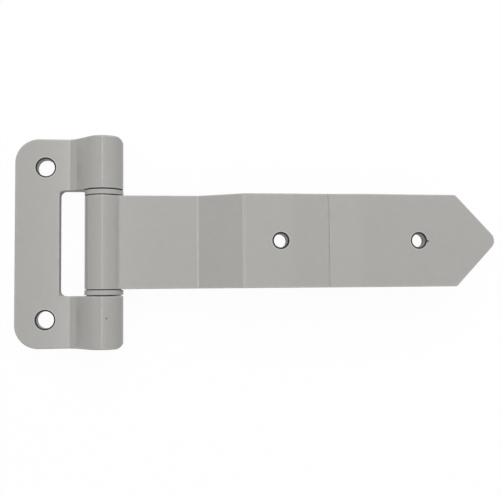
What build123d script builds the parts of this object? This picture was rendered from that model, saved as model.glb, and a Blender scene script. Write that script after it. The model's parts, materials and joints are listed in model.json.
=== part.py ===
from build123d import *
import os
from math import atan2, cos, radians, sin, sqrt, tan

# Cranked strap hinge, in millimetres. The frame leaf lies with its back on the XY plane.
# X runs along the strap, Y along the pin, Z out of the mounting face.
# The origin is midway between the two frame bolts, on the back of the frame leaf.

# Pin and knuckles
pin_diameter = 10.0
pin_end_chamfer = 1.0
pin_recess = 0.6
barrel_diameter = 20.0
pin_to_frame_bolts = 30.5

# Frame leaf
frame_height = 110.0
plate_thickness = 6.5
frame_bolt_pitch = 80.0
frame_bolt_hole = 9.0
frame_bolt_edge_distance = 15.75
plate_corner_radius = 12.5
barrel_corner_radius = 4.0
barrel_corner_margin = 0.2
neck_angle = 48.0
neck_foot_angle = 31.0
neck_foot_rise = 2.2
neck_bend_radius = 6.0
neck_foot_radius = 0.8
window_reach = 23.2
window_corner_radius = 3.0

# Strap leaf, distances along the strap taken from the pin
strap_width = 48.5
web_front_above_pin = 6.0
web_thickness = 6.0
web_root_fillet = 1.5
crank_start = 49.25
crank_end = 72.0
crank_rise = 12.0
crank_thickness = 7.0
crank_bend_radius = 2.5
pad_thickness = 8.0
pad_flat_end = 98.0
crease_distance = 116.0
crease_depth = 1.0
crease_groove_radius = 0.5
ridge_distance = 135.0
ridge_bend_radius = 60.0
tip_thickness = 4.5
tip_shoulder = 185.0
tip_point = 208.5
tip_point_radius = 5.0
tip_shoulder_radius = 2.0
strap_first_hole = 90.75
strap_hole_pitch = 73.5
strap_bolt_hole = 7.0

# Bushes, pressed into both ends of the strap knuckle
bush_wall = 1.0
bush_flange_thickness = 3.35
bush_sleeve_length = 20.0
flange_groove_width = 0.4
flange_groove_depth = 1.0
flange_rim_chamfer = 0.15

# Clearances and edges
pin_seat_clearance = 0.02
bush_seat_clearance = 0.02
pin_running_clearance = 0.05
flange_running_gap = 0.2
edge_break = 0.8
cut_edge_chamfer = 0.3
hole_rim_chamfer = 0.75
hole_back_chamfer = 0.4
bore_rim_chamfer = 0.4

# Worked out from the sizes above
pin_radius = pin_diameter / 2
barrel_radius = barrel_diameter / 2
frame_bore_radius = pin_radius + pin_seat_clearance
pin_x = pin_to_frame_bolts
pin_z = barrel_radius
pin_axis = Axis((pin_x, 0, pin_z), (0, 1, 0))
plate_left = -frame_bolt_edge_distance
frame_length = pin_x + barrel_radius + barrel_corner_margin - plate_left
window_left = pin_x - window_reach
knuckle_end = strap_width / 2
flange_end = knuckle_end + bush_flange_thickness
window_half_width = flange_end + flange_running_gap
bush_bore_radius = pin_radius + pin_running_clearance
bush_outer_radius = bush_bore_radius + bush_wall
flange_seat_radius = barrel_radius - flange_groove_depth
web_front = pin_z + web_front_above_pin
web_back = web_front - web_thickness
pad_front = web_front + crank_rise
pad_back = pad_front - pad_thickness
crease_front = pad_front - crease_depth
tip_front = pad_back + tip_thickness
cut_reach = tip_point


def strap_x(distance):
    """Place along X of a point at this distance from the pin."""
    return pin_x + distance


def new_rims(leaf):
    """Edges round both ends of the holes that were cut last in a leaf."""
    return leaf.edges(Select.LAST).filter_by(GeomType.LINE, reverse=True)


# Frame leaf: one profile of plate, neck and barrel, cut to length
neck_slope = radians(neck_angle)
neck_top_x = pin_x - barrel_radius * sin(neck_slope)
neck_top_z = pin_z + barrel_radius * cos(neck_slope)
neck_bend_z = plate_thickness + neck_foot_rise
neck_bend_x = neck_top_x - (neck_top_z - neck_bend_z) / tan(neck_slope)
neck_foot_x = neck_bend_x - neck_foot_rise / tan(radians(neck_foot_angle))

with BuildPart() as frame_leaf:
    with BuildSketch(Plane.XZ):
        with BuildLine():
            Line((plate_left, 0), (pin_x, 0))
            barrel = CenterArc((pin_x, pin_z), barrel_radius, -90, 180 + neck_angle)
            FilletPolyline(
                barrel @ 1,
                (neck_bend_x, neck_bend_z),
                (neck_foot_x, plate_thickness),
                (plate_left, plate_thickness),
                (plate_left, 0),
                radius=(neck_bend_radius, neck_foot_radius, 0),
            )
        make_face()
    extrude(amount=frame_height / 2, both=True)
    with BuildSketch(Plane.XY) as frame_outline:
        with Locations((plate_left, 0)):
            Rectangle(frame_length, frame_height, align=(Align.MIN, Align.CENTER))
        fillet(frame_outline.vertices().group_by(Axis.X)[0], plate_corner_radius)
        fillet(frame_outline.vertices().group_by(Axis.X)[-1], barrel_corner_radius)
    extrude(amount=barrel_diameter, mode=Mode.INTERSECT)
    plate_end_edges = frame_leaf.edges().filter_by(Axis.Y).group_by(Axis.X)[0]
    profile_edges = frame_leaf.edges().filter_by(Axis.Y, reverse=True).filter_by(Axis.Z, reverse=True)
    fillet(plate_end_edges + profile_edges, edge_break)
    with BuildSketch(Plane.XY) as window:
        with Locations((window_left, 0)):
            Rectangle(cut_reach, 2 * window_half_width, align=(Align.MIN, Align.CENTER))
        fillet(window.vertices().group_by(Axis.X)[0], window_corner_radius)
    extrude(amount=cut_reach, both=True, mode=Mode.SUBTRACT)
    chamfer(frame_leaf.edges(Select.LAST).filter_by(Axis.Z, reverse=True), cut_edge_chamfer)
    with BuildSketch(Plane.XZ):
        with Locations((pin_x, pin_z)):
            Circle(frame_bore_radius)
    extrude(amount=cut_reach, both=True, mode=Mode.SUBTRACT)
    chamfer(new_rims(frame_leaf), bore_rim_chamfer)
    with BuildSketch(Plane.XY):
        with GridLocations(0, frame_bolt_pitch, 1, 2):
            Circle(frame_bolt_hole / 2)
    extrude(amount=cut_reach, both=True, mode=Mode.SUBTRACT)
    rims = new_rims(frame_leaf)
    back_rims = rims.group_by(Axis.Z)[0]
    chamfer(rims - back_rims, hole_rim_chamfer)
    chamfer(back_rims, hole_back_chamfer)
frame_leaf.part.label = "frame_leaf"

# Strap leaf: one profile of barrel, web, crank and pads, cut to length and pointed
crank_slope = atan2(crank_rise, crank_end - crank_start)
back_shift = crank_thickness / sin(crank_slope)
crank_back_start = crank_start + back_shift - web_thickness / tan(crank_slope)
crank_back_end = crank_back_start + (pad_back - web_back) / tan(crank_slope)


def web_root(height):
    """Point of the strap section where a web face at this height meets the barrel."""
    return (pin_x + sqrt(barrel_radius**2 - (height - pin_z) ** 2), height)


with BuildPart() as strap_leaf:
    with BuildSketch(Plane.XZ) as strap_section:
        with BuildLine():
            front = FilletPolyline(
                (strap_x(0), web_front),
                (strap_x(crank_start), web_front),
                (strap_x(crank_end), pad_front),
                (strap_x(pad_flat_end), pad_front),
                (strap_x(crease_distance), crease_front),
                (strap_x(ridge_distance), pad_front),
                (strap_x(tip_point), tip_front),
                radius=(crank_bend_radius, crank_bend_radius, ridge_bend_radius, 0, ridge_bend_radius),
            )
            back = FilletPolyline(
                (strap_x(0), web_back),
                (strap_x(crank_back_start), web_back),
                (strap_x(crank_back_end), pad_back),
                (strap_x(tip_point), pad_back),
                radius=crank_bend_radius,
            )
            Line(front @ 0, back @ 0)
            Line(front @ 1, back @ 1)
        make_face()
        with Locations((pin_x, pin_z)):
            Circle(barrel_radius)
        for face_height in (web_front, web_back):
            root = strap_section.vertices().sort_by_distance(web_root(face_height))[0]
            fillet(root, web_root_fillet)
    extrude(amount=strap_width, both=True)
    with BuildSketch(Plane.XY):
        with BuildLine():
            FilletPolyline(
                (pin_x - barrel_diameter, -knuckle_end),
                (strap_x(tip_shoulder), -knuckle_end),
                (strap_x(tip_point), 0),
                (strap_x(tip_shoulder), knuckle_end),
                (pin_x - barrel_diameter, knuckle_end),
                radius=(0, tip_shoulder_radius, tip_point_radius, tip_shoulder_radius, 0),
                close=True,
            )
        make_face()
    extrude(amount=cut_reach, both=True, mode=Mode.INTERSECT)
    outline = strap_leaf.edges().filter_by(Axis.Y, reverse=True).filter_by(Axis.Z, reverse=True)
    chamfer(outline, cut_edge_chamfer)
    with BuildSketch(Plane.XZ):
        with Locations((pin_x, pin_z)):
            Circle(bush_outer_radius + bush_seat_clearance)
        with Locations((strap_x(crease_distance), crease_front)):
            Circle(crease_groove_radius)
    extrude(amount=cut_reach, both=True, mode=Mode.SUBTRACT)
    with BuildSketch(Plane.XY):
        with Locations((strap_x(strap_first_hole), 0), (strap_x(strap_first_hole + strap_hole_pitch), 0)):
            Circle(strap_bolt_hole / 2)
    extrude(amount=cut_reach, both=True, mode=Mode.SUBTRACT)
    rims = new_rims(strap_leaf)
    back_rims = rims.group_by(Axis.Z)[0]
    chamfer(rims - back_rims, hole_rim_chamfer)
    chamfer(back_rims, hole_back_chamfer)
strap_leaf.part.label = "strap_leaf"

# Pin, held in the frame knuckles
pin_half_length = frame_height / 2 - pin_recess
with BuildPart() as hinge_pin:
    with BuildSketch(Plane.XZ):
        with Locations((pin_x, pin_z)):
            Circle(pin_radius)
    extrude(amount=pin_half_length, both=True)
    chamfer(hinge_pin.edges().filter_by(GeomType.CIRCLE), pin_end_chamfer)
hinge_pin.part.label = "hinge_pin"

os.makedirs("parts", exist_ok=True)
export_step(frame_leaf.part, "parts/frame_leaf.step")
export_step(strap_leaf.part, "parts/strap_leaf.step")
export_step(hinge_pin.part, "parts/hinge_pin.step")

# Flanged bushes, one in each end of the strap knuckle
for bush_name, side in (("upper_bush", 1), ("lower_bush", -1)):
    sleeve_inner = side * (knuckle_end - bush_sleeve_length)
    flange_seat = side * knuckle_end
    rim_inner = side * (knuckle_end + flange_groove_width)
    rim_outer = side * (flange_end - flange_groove_width)
    flange_outer = side * flange_end
    with BuildPart() as bush:
        with BuildSketch(Plane.XY.offset(pin_z)) as bush_section:
            with BuildLine():
                Polyline(
                    (pin_x + bush_bore_radius, sleeve_inner),
                    (pin_x + bush_outer_radius, sleeve_inner),
                    (pin_x + bush_outer_radius, flange_seat),
                    (pin_x + flange_seat_radius, flange_seat),
                    (pin_x + flange_seat_radius, rim_inner),
                    (pin_x + barrel_radius, rim_inner),
                    (pin_x + barrel_radius, rim_outer),
                    (pin_x + flange_seat_radius, rim_outer),
                    (pin_x + flange_seat_radius, flange_outer),
                    (pin_x + bush_bore_radius, flange_outer),
                    close=True,
                )
            make_face()
            chamfer(bush_section.vertices().group_by(Axis.X)[-1], flange_rim_chamfer)
        revolve(axis=pin_axis)
    bush.part.label = bush_name
    export_step(bush.part, f"parts/{bush_name}.step")
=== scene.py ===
import json
from math import pi, radians

import bpy
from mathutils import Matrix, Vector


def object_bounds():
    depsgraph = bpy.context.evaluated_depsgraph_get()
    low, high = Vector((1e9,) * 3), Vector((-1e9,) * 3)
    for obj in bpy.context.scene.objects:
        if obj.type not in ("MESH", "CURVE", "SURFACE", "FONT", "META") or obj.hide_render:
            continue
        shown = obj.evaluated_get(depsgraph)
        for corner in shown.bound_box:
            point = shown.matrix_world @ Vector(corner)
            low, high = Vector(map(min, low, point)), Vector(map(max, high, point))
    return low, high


# Cranked strap hinge in satin grey paint. Lengths are in metres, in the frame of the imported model.

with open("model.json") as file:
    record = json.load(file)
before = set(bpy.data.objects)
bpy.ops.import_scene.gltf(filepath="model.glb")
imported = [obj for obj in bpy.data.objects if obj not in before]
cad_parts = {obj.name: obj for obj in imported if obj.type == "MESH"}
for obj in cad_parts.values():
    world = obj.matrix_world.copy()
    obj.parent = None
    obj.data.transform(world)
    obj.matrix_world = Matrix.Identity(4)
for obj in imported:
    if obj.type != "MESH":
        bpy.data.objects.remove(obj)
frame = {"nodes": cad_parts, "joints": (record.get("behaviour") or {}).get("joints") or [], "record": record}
cad_low, cad_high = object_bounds()
MM = 0.001
BAND_REACH = 60 * MM


def band(x_low, x_high, z_low, z_high):
    """The two corners of a box right across the part, from sizes in mm."""
    return (x_low * MM, -BAND_REACH, z_low * MM), (x_high * MM, BAND_REACH, z_high * MM)


# Directions, and masks that drop one of them from a place
UP = (0.0, 0.0, 1.0)
LEFT = (-1.0, 0.0, 0.0)
ALONG_PIN = (0.0, 1.0, 0.0)
DROP_HEIGHT = (1.0, 1.0, 0.0)
DROP_PIN_LENGTH = (1.0, 0.0, 1.0)
ORIGIN = (0.0, 0.0, 0.0)

# Camera: the photograph's place, tilt and focal length
IMAGE_WIDTH_PX = 500
FOCAL_LENGTH_PX = 740.6
SENSOR_WIDTH_MM = 36.0
CAMERA_PLACE = (63.3 * MM, -23.4 * MM, 402.6 * MM)
CAMERA_PITCH = radians(2.97)
CAMERA_YAW = radians(-6.39)
CAMERA_ROLL = radians(-0.48)

# Floor: it shows as white with a little shadow, and is grey for the light that it throws back
WHITE = (1.0, 1.0, 1.0, 1.0)
WHITE_STRENGTH = 1.0
FLOOR_SIZE = 12.0
FLOOR_DROP = 0.1 * MM
FLOOR_SHOWN = (0.95, 0.95, 0.95, 1.0)
FLOOR_BOUNCE = (0.35, 0.35, 0.35, 1.0)
FLOOR_SHADOW = 0.04

# Light: a dome, brighter overhead and at the left, and three lamps with sizes in metres, tilts in degrees
# and powers in watts. The strip runs along the pin, the soft box hangs overhead, the back lamp leans in.
DOME_EVEN = 0.36
DOME_OVERHEAD = 0.26
DOME_LEFT = 0.34
LAMPS = {
    "strip": {"place": (-0.182, 0.15, 2.00), "size": (0.07, 1.60), "tilt": 0.0, "power": 2.5},
    "soft_box": {"place": (0.07, 0.15, 2.10), "size": (1.05, 1.60), "tilt": 0.0, "power": 2.0},
    "back_lamp": {"place": (0.42, 0.65, 0.70), "size": (1.20, 0.60), "tilt": -42.0, "power": 5.2},
}

# Paint, in linear colours
PAINT_COOL = (0.366, 0.363, 0.351, 1.0)
PAINT_WARM = (0.391, 0.376, 0.356, 1.0)
# Pale colour of worn paint and paler mottles, also used for painted highlight lines
PAINT_WORN_AND_HIGHLIGHT = (0.54, 0.535, 0.52, 1.0)
# Near-black colour of dirt and painted shade in corners and grooves
PAINT_GRIME_AND_SHADE = (0.012, 0.012, 0.011, 1.0)
# Near-black painted shade at the rims of the holes
HOLE_RIM_SHADE = (0.015, 0.015, 0.015, 1.0)
HOLE_WALL = (0.420, 0.415, 0.405, 1.0)
# Darker grey of painted shade on the walls of the window
WINDOW_WALL_SHADE = (0.280, 0.277, 0.270, 1.0)
CHIP_DARK = (0.060, 0.060, 0.058, 1.0)
PAINT_ROUGHNESS = (0.12, 0.15)
CUT_ROUGHNESS = 0.6

# Noises, each with a scale and a detail, and the span of their values that is put to use
CLOUD = (45.0, 3.0)
MOTTLE = (260.0, 3.0)
PEEL = (620.0, 2.0)
PAINT_GRAIN = (3200.0, 1.0)
BUSH_GRAIN = (3200.0, 2.0)
STEEL_MOTTLE = (260.0, 4.0)
NOISE_SPAN = (0.3, 0.7)
MOTTLE_SHARE = 0.06
GRAIN_SHARE = 0.2
PEEL_HEIGHT = 0.006 * MM

# Wear at the edges, which also lays pale painted highlight lines beside each bend of the leaves: its width,
# the cosines of turn at which it starts and is full, and how patchy it is
EDGE_WIDTH = 0.9 * MM
EDGE_TURN = (0.9985, 0.985)
RUB_SPAN = (0.35, 0.65)
RUB_SHARE = (0.4, 0.8)

# Dirt and painted shade in corners and grooves: how far they reach, and the openness at which they start and
# are full
CREVICE_REACH = 1.2 * MM
CREVICE_OPENNESS = (0.62, 0.30)
GROOVE_REACH = 1.2 * MM
GROOVE_OPENNESS = (0.95, 0.60)
MASK_SAMPLES = 6

# Cut faces: how squarely a face looks along the pin where the mask starts and is full
CUT_TURN = (0.6, 0.9)

# Painted highlight lines, in the pale colour, at the foot of the necks and along each of the two bend lines
# of the crank, and how strong each is
FRAME_BEND_HIGHLIGHTS = ((band(11.9, 12.7, 5, 8), 0.6),)
STRAP_BEND_HIGHLIGHTS = ((band(78.7, 79.5, 12, 30), 0.35), (band(101.6, 102.4, 22, 30), 0.45))

# The fine crease across the strap, which gets none of the dirt and painted shade of the corners, and little
# of the pale worn and highlighted edge colour
CREASE_BOX = band(144.5, 148.5, 20, 30)
CREASE_WEAR = 0.4

# Holes, from the outside in: a worn halo, a rim darkened near black with painted shade and, within a lip,
# the grey wall
HOLE_HALO = 0.45 * MM
HALO_WEAR = 0.6
FRAME_HOLE_RIM = 0.90 * MM
STRAP_HOLE_RIM = 1.03 * MM
HOLE_LIP = 0.1 * MM
BORE_CORE = 0.98
WINDOW_WALL_DEPTH = 1.2 * MM

# Small blemishes: a speck on the lower knuckle and a nick at the rim of the outer strap hole
SPECK_PLACE = (32.6 * MM, -39.0 * MM, 19.8 * MM)
SPECK_RADIUS = 0.45 * MM
NICK_PLACE = (199.65 * MM, -0.4 * MM, 26.4 * MM)
NICK_RADIUS = 0.75 * MM
SPOT_CORE = 0.6

# Bushes and pin
BUSH_PALE = (0.41, 0.405, 0.395, 1.0)
BUSH_DEEP = (0.37, 0.367, 0.357, 1.0)
BUSH_ROUGHNESS = (0.36, 0.46)
STEEL_BRIGHT = (0.56, 0.55, 0.53, 1.0)
STEEL_DULL = (0.40, 0.39, 0.37, 1.0)
STEEL_ROUGHNESS = (0.28, 0.42)
TURNING_PITCH = 0.25 * MM
TURNING_HEIGHT = 0.004 * MM


class Graph:
    """The nodes of one material or of the world, with short calls that add and link them."""

    def __init__(self, owner):
        owner.use_nodes = True
        self.tree = owner.node_tree
        self.shader = self.tree.nodes.get("Principled BSDF")
        self.coordinates = self.add("ShaderNodeTexCoord")
        self.place = self.coordinates.outputs["Object"]

    def feed(self, socket, value):
        """Sets an input to a value, or links it to an output."""
        if isinstance(value, bpy.types.NodeSocket):
            self.tree.links.new(value, socket)
        else:
            socket.default_value = value

    def add(self, kind, sockets=None, **settings):
        """A new node with its settings, and its inputs fed."""
        node = self.tree.nodes.new(kind)
        for key, value in settings.items():
            setattr(node, key, value)
        for key, value in (sockets or {}).items():
            self.feed(node.inputs[key], value)
        return node

    def shade(self, **sockets):
        """Feeds the shader's inputs; underscores in their names stand for spaces."""
        for key, value in sockets.items():
            self.feed(self.shader.inputs[key.replace("_", " ")], value)

    def math(self, operation, *values):
        """One sum on one or two numbers."""
        return self.add("ShaderNodeMath", dict(enumerate(values)), operation=operation).outputs[0]

    def vector(self, operation, *values):
        """One sum on one or two vectors; a distance or a dot product is a number, the rest are vectors."""
        node = self.add("ShaderNodeVectorMath", dict(enumerate(values)), operation=operation)
        return node.outputs["Value" if operation in ("DISTANCE", "DOT_PRODUCT") else "Vector"]

    def largest(self, first, *others):
        """The largest of some numbers."""
        for other in others:
            first = self.math("MAXIMUM", first, other)
        return first

    def noise(self, scale, detail):
        """Noise in the part's own frame, from 0 to 1."""
        sockets = {"Vector": self.place, "Scale": scale, "Detail": detail}
        return self.add("ShaderNodeTexNoise", sockets).outputs["Fac"]

    def ramp(self, value, start, end, low=0.0, high=1.0):
        """Low up to the start value, high past the end value, and even steps between."""
        sockets = {"Value": value, "From Min": start, "From Max": end, "To Min": low, "To Max": high}
        return self.add("ShaderNodeMapRange", sockets).outputs["Result"]

    def mix(self, amount, first, second):
        """Two colours mixed."""
        node = self.add("ShaderNodeMix", {0: amount}, data_type="RGBA")
        colours = [socket for socket in node.inputs if socket.type == "RGBA"]
        self.feed(colours[0], first)
        self.feed(colours[1], second)
        return next(socket for socket in node.outputs if socket.type == "RGBA")

    def bump(self, height, distance):
        """A bump normal from a height that counts in steps of a distance."""
        return self.add("ShaderNodeBump", {"Height": height, "Distance": distance}).outputs["Normal"]

    def normal(self):
        """The way the surface looks."""
        return self.add("ShaderNodeNewGeometry").outputs["Normal"]

    def spot(self, centre, radius):
        """1 within a ball about a point, with a soft rim."""
        return self.ramp(self.vector("DISTANCE", self.place, centre), radius, SPOT_CORE * radius)

    def bore(self, centre, radius):
        """1 within a cylinder along Z about a centre."""
        flat_place = self.vector("MULTIPLY", self.place, DROP_HEIGHT)
        return self.ramp(self.vector("DISTANCE", flat_place, centre), radius, BORE_CORE * radius)

    def box(self, low, high):
        """1 within a box."""
        centre = [(a + b) / 2 for a, b in zip(low, high)]
        half = [(b - a) / 2 for a, b in zip(low, high)]
        offset = self.vector("ABSOLUTE", self.vector("SUBTRACT", self.place, centre))
        beyond = self.add("ShaderNodeSeparateXYZ", {0: self.vector("SUBTRACT", offset, half)})
        return self.math("LESS_THAN", self.largest(*beyond.outputs), 0.0)

    def edges(self):
        """0 on smooth faces and 1 where the surface turns sharply within the edge width; it marks worn edges
        and painted highlight lines beside each bend.
        """
        rounded = self.add("ShaderNodeBevel", {"Radius": EDGE_WIDTH}, samples=MASK_SAMPLES)
        turn = self.vector("DOT_PRODUCT", rounded.outputs["Normal"], self.normal())
        return self.ramp(turn, *EDGE_TURN)

    def cut_faces(self):
        """1 on faces that look along the pin: sawn ends and the ends of the window."""
        along_pin = self.math("ABSOLUTE", self.vector("DOT_PRODUCT", self.normal(), ALONG_PIN))
        return self.ramp(along_pin, *CUT_TURN)

    def crevices(self, reach, openness):
        """0 in the open and 1 in a narrow gap."""
        occlusion = self.add("ShaderNodeAmbientOcclusion", {"Distance": reach}, samples=MASK_SAMPLES)
        return self.ramp(occlusion.outputs["AO"], *openness)

    def seen(self):
        """1 for rays that show a surface to the camera, straight or by a mirror or a glass."""
        rays = self.add("ShaderNodeLightPath").outputs
        return self.largest(rays["Is Camera Ray"], rays["Is Glossy Ray"], rays["Is Transmission Ray"])


def coat(g, mottle):
    """The colour of the whole coat: warm and cool clouds with paler mottles."""
    clouds = g.mix(g.noise(*CLOUD), PAINT_COOL, PAINT_WARM)
    return g.mix(g.ramp(mottle, *NOISE_SPAN, high=MOTTLE_SHARE), clouds, PAINT_WORN_AND_HIGHLIGHT)


def weather(g, mottle, colour, creases, bend_highlights):
    """The colour with pale worn edges, pale painted highlight lines at each bend, and dirt and painted shade
    in the corners.
    """
    # Pale worn edges; the same mask paints highlight lines beside each bend
    wear_and_highlight = g.math("MULTIPLY", g.edges(), g.ramp(mottle, *RUB_SPAN, *RUB_SHARE))
    # Dirt and painted shade where a corner or gap is close
    grime_and_shade = g.crevices(CREVICE_REACH, CREVICE_OPENNESS)
    for low, high in creases:
        crease = g.box(low, high)
        wear_and_highlight = g.math("MULTIPLY", wear_and_highlight, g.ramp(crease, 0.0, 1.0, low=1.0, high=CREASE_WEAR))
        grime_and_shade = g.math("SUBTRACT", grime_and_shade, crease)
    # Boxes at each bend line add painted highlight in the pale colour
    for (low, high), highlight_share in bend_highlights:
        wear_and_highlight = g.largest(wear_and_highlight, g.math("MULTIPLY", g.box(low, high), highlight_share))
    return g.mix(grime_and_shade, g.mix(wear_and_highlight, colour, PAINT_WORN_AND_HIGHLIGHT), PAINT_GRIME_AND_SHADE)


def drill(g, colour, centre, radius, rim):
    """The colour with one hole's worn halo, its rim darkened with painted shade and its wall, and the mask
    of what is bare there.
    """
    halo = g.math("MULTIPLY", g.bore(centre, radius + rim + HOLE_HALO), HALO_WEAR)
    drilled = g.bore(centre, radius + rim)
    # The rim goes near black with painted shade
    colour = g.mix(drilled, g.mix(halo, colour, PAINT_WORN_AND_HIGHLIGHT), HOLE_RIM_SHADE)
    return g.mix(g.bore(centre, radius + HOLE_LIP), colour, HOLE_WALL), drilled


def paint(name, holes, hole_rim, chips, openings=(), creases=(), bend_highlights=()):
    """Satin grey paint: cloudy colour, orange peel, worn edges with painted highlight lines, hole rims and
    window walls darkened with painted shade, and small chips.
    """
    material = bpy.data.materials.new(name)
    g = Graph(material)
    mottle, peel = g.noise(*MOTTLE), g.noise(*PEEL)
    colour = weather(g, mottle, coat(g, mottle), creases, bend_highlights)
    bare = g.cut_faces()
    centres, radius = holes
    for centre in centres:
        colour, drilled = drill(g, colour, centre, radius, hole_rim)
        bare = g.largest(bare, drilled)
    for low, high in openings:
        cut = g.box(low, high)
        # The window's walls take a darker grey of painted shade
        colour = g.mix(cut, colour, WINDOW_WALL_SHADE)
        bare = g.largest(bare, cut)
    for place, chip_radius in chips:
        colour = g.mix(g.spot(place, chip_radius), colour, CHIP_DARK)
    satin = g.ramp(peel, *NOISE_SPAN, *PAINT_ROUGHNESS)
    grain = g.math("MULTIPLY", g.noise(*PAINT_GRAIN), GRAIN_SHARE)
    g.shade(
        Base_Color=colour,
        Roughness=g.largest(satin, g.math("MULTIPLY", bare, CUT_ROUGHNESS)),
        Normal=g.bump(g.math("ADD", peel, grain), PEEL_HEIGHT),
    )
    return material


def plastic():
    """Grey moulded plastic of the bushes, with dirt and painted shade dark in the grooves."""
    material = bpy.data.materials.new("bush_plastic")
    g = Graph(material)
    colour = g.mix(g.noise(*MOTTLE), BUSH_DEEP, BUSH_PALE)
    g.shade(
        # Dirt and painted shade, near black, in the grooves
        Base_Color=g.mix(g.crevices(GROOVE_REACH, GROOVE_OPENNESS), colour, PAINT_GRIME_AND_SHADE),
        Roughness=g.ramp(g.noise(*PEEL), *NOISE_SPAN, *BUSH_ROUGHNESS),
        Normal=g.bump(g.noise(*BUSH_GRAIN), PEEL_HEIGHT),
    )
    return material


def steel(pin_place):
    """Turned steel of the pin, with fine rings on its ends."""
    material = bpy.data.materials.new("pin_steel")
    g = Graph(material)
    across = g.vector("MULTIPLY", g.vector("SUBTRACT", g.place, pin_place), DROP_PIN_LENGTH)
    radius = g.vector("DISTANCE", across, ORIGIN)
    rings = g.math("SINE", g.math("MULTIPLY", radius, 2 * pi / TURNING_PITCH))
    g.shade(
        Base_Color=g.mix(g.noise(*STEEL_MOTTLE), STEEL_DULL, STEEL_BRIGHT),
        Metallic=1.0,
        Roughness=g.ramp(g.noise(*PEEL), *NOISE_SPAN, *STEEL_ROUGHNESS),
        Normal=g.bump(rings, TURNING_HEIGHT),
    )
    return material


def named(rows, name):
    """The row of a list that has a name."""
    return next(row for row in rows if row["name"] == name)


def bolt_pattern(name):
    """The centres in plan and the radius of the holes of one of the part's mounts."""
    mount = named(frame["record"]["mounts"], name)
    x, y, _ = mount["pos_m"]
    half_x = mount["dims"].get("spacing_x_mm", 0.0) * MM / 2
    half_y = mount["dims"].get("spacing_y_mm", 0.0) * MM / 2
    centres = [(x + side * half_x, y + side * half_y, 0.0) for side in (-1, 1)]
    return centres, mount["dims"]["hole_r_mm"] * MM


def opening_box(name):
    """The box of one of the part's openings, grown to hold the walls round it."""
    low, high = named(frame["record"]["physics"]["openings"], name)["box_m"]
    return [value - WINDOW_WALL_DEPTH for value in low], [value + WINDOW_WALL_DEPTH for value in high]


def dress(material, *names):
    """Gives every slot of the named nodes one material."""
    for name in names:
        for slot in frame["nodes"][name].material_slots:
            slot.material = material


def dress_part():
    """Paint on the leaves, plastic on the bushes and steel on the pin."""
    frame_paint = paint(
        "frame_paint",
        bolt_pattern("frame_bolts"),
        FRAME_HOLE_RIM,
        chips=[(SPECK_PLACE, SPECK_RADIUS)],
        openings=[opening_box("knuckle_window")],
        bend_highlights=FRAME_BEND_HIGHLIGHTS,
    )
    strap_paint = paint(
        "strap_paint",
        bolt_pattern("strap_bolts"),
        STRAP_HOLE_RIM,
        chips=[(NICK_PLACE, NICK_RADIUS)],
        creases=[CREASE_BOX],
        bend_highlights=STRAP_BEND_HIGHLIGHTS,
    )
    dress(frame_paint, "frame_leaf")
    dress(strap_paint, "strap_leaf")
    dress(plastic(), "upper_bush", "lower_bush")
    dress(steel(named(frame["joints"], "strap_swing")["pos_m"]), "hinge_pin")


def make_floor():
    """A wide floor that looks white, keeps the part's faint shadow and throws back little light."""
    bpy.ops.mesh.primitive_plane_add(size=FLOOR_SIZE, location=(0, 0, cad_low.z - FLOOR_DROP))
    floor = bpy.context.object
    floor.name = "floor"
    material = bpy.data.materials.new("floor_white")
    g = Graph(material)
    shade = g.add("ShaderNodeBsdfDiffuse", {"Color": FLOOR_SHOWN}).outputs[0]
    glow = g.add("ShaderNodeEmission", {"Color": WHITE, "Strength": WHITE_STRENGTH}).outputs[0]
    shown = g.add("ShaderNodeMixShader", {0: FLOOR_SHADOW, 1: glow, 2: shade}).outputs[0]
    bounce = g.add("ShaderNodeBsdfDiffuse", {"Color": FLOOR_BOUNCE}).outputs[0]
    both = g.add("ShaderNodeMixShader", {0: g.seen(), 1: bounce, 2: shown}).outputs[0]
    g.feed(g.tree.nodes["Material Output"].inputs["Surface"], both)
    floor.data.materials.append(material)


def make_world():
    """A soft dome of light that looks white."""
    world = bpy.data.worlds.new("studio")
    bpy.context.scene.world = world
    g = Graph(world)
    direction = g.coordinates.outputs["Generated"]
    light = DOME_EVEN
    for side, strength in ((UP, DOME_OVERHEAD), (LEFT, DOME_LEFT)):
        lobe = g.math("MAXIMUM", g.vector("DOT_PRODUCT", direction, side), 0.0)
        light = g.math("ADD", g.math("MULTIPLY", lobe, strength), light)
    background = g.tree.nodes["Background"].inputs
    g.feed(background["Color"], WHITE)
    g.feed(background["Strength"], g.largest(light, g.seen()))


def make_lamp(name, place, size, tilt, power):
    """A rectangular lamp that faces down, tilted about X."""
    lamp = bpy.data.lights.new(name, "AREA")
    lamp.shape = "RECTANGLE"
    lamp.size, lamp.size_y = size
    lamp.energy = power
    holder = bpy.data.objects.new(name, lamp)
    holder.location = place
    holder.rotation_euler = (radians(tilt), 0.0, 0.0)
    bpy.context.collection.objects.link(holder)


def make_camera():
    """The camera of the photograph."""
    data = bpy.data.cameras.new("camera")
    data.sensor_fit = "HORIZONTAL"
    data.sensor_width = SENSOR_WIDTH_MM
    data.lens = FOCAL_LENGTH_PX / IMAGE_WIDTH_PX * SENSOR_WIDTH_MM
    camera = bpy.data.objects.new("camera", data)
    camera.location = CAMERA_PLACE
    camera.rotation_mode = "ZXY"
    camera.rotation_euler = (CAMERA_PITCH, CAMERA_YAW, CAMERA_ROLL)
    bpy.context.collection.objects.link(camera)
    bpy.context.scene.camera = camera


dress_part()
make_floor()
make_world()
for lamp_name, lamp_settings in LAMPS.items():
    make_lamp(lamp_name, **lamp_settings)
make_camera()
bpy.context.scene.view_settings.view_transform = "Standard"
